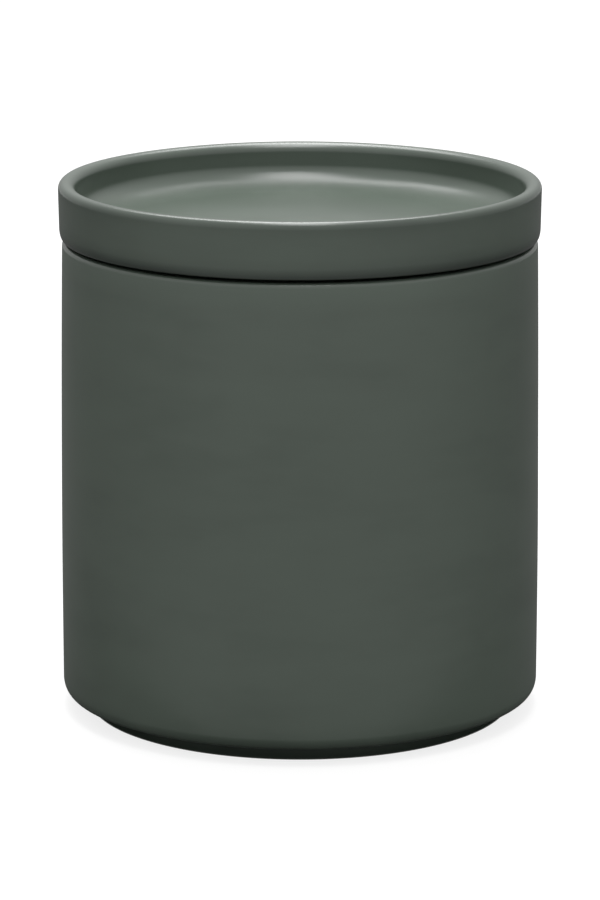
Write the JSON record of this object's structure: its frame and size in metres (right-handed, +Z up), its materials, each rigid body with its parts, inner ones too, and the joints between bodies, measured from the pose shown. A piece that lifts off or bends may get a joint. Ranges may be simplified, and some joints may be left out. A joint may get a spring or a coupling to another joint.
{
  "type": "lidded storage jar",
  "caption": "Straight-sided glazed stoneware storage jar on a recessed foot ring, with a flat tray-topped lid that lifts off on a silicone seal.",
  "frame": {"origin": "centre of the foot ring's standing plane, on the jar's axis", "axes": "+Z up along the jar's axis; the jar is turned, so +X and +Y are free"},
  "size_m": [0.1002, 0.1002, 0.1117],
  "materials": {
    "jar_glaze": "satin dark grey-green glaze, bare clay on the foot ring",
    "lid_glaze": "satin dark grey-green glaze",
    "seal_silicone": "matt black silicone"
  },
  "bodies": {
    "jar": {"jar_body": "jar_glaze"},
    "seal": {"lid_seal": "seal_silicone"},
    "lid": {"lid": "lid_glaze"}
  },
  "joints": [
    {"name": "lid_lift", "type": "slide", "parent": "jar", "child": "seal", "axis": [0, 0, 1], "range_m": [0, 0.1]},
    {"name": "lid_turn", "type": "hinge", "parent": "seal", "child": "lid", "pos_m": [0, 0, 0.10005], "axis": [0, 0, 1], "continuous": true}
  ]
}
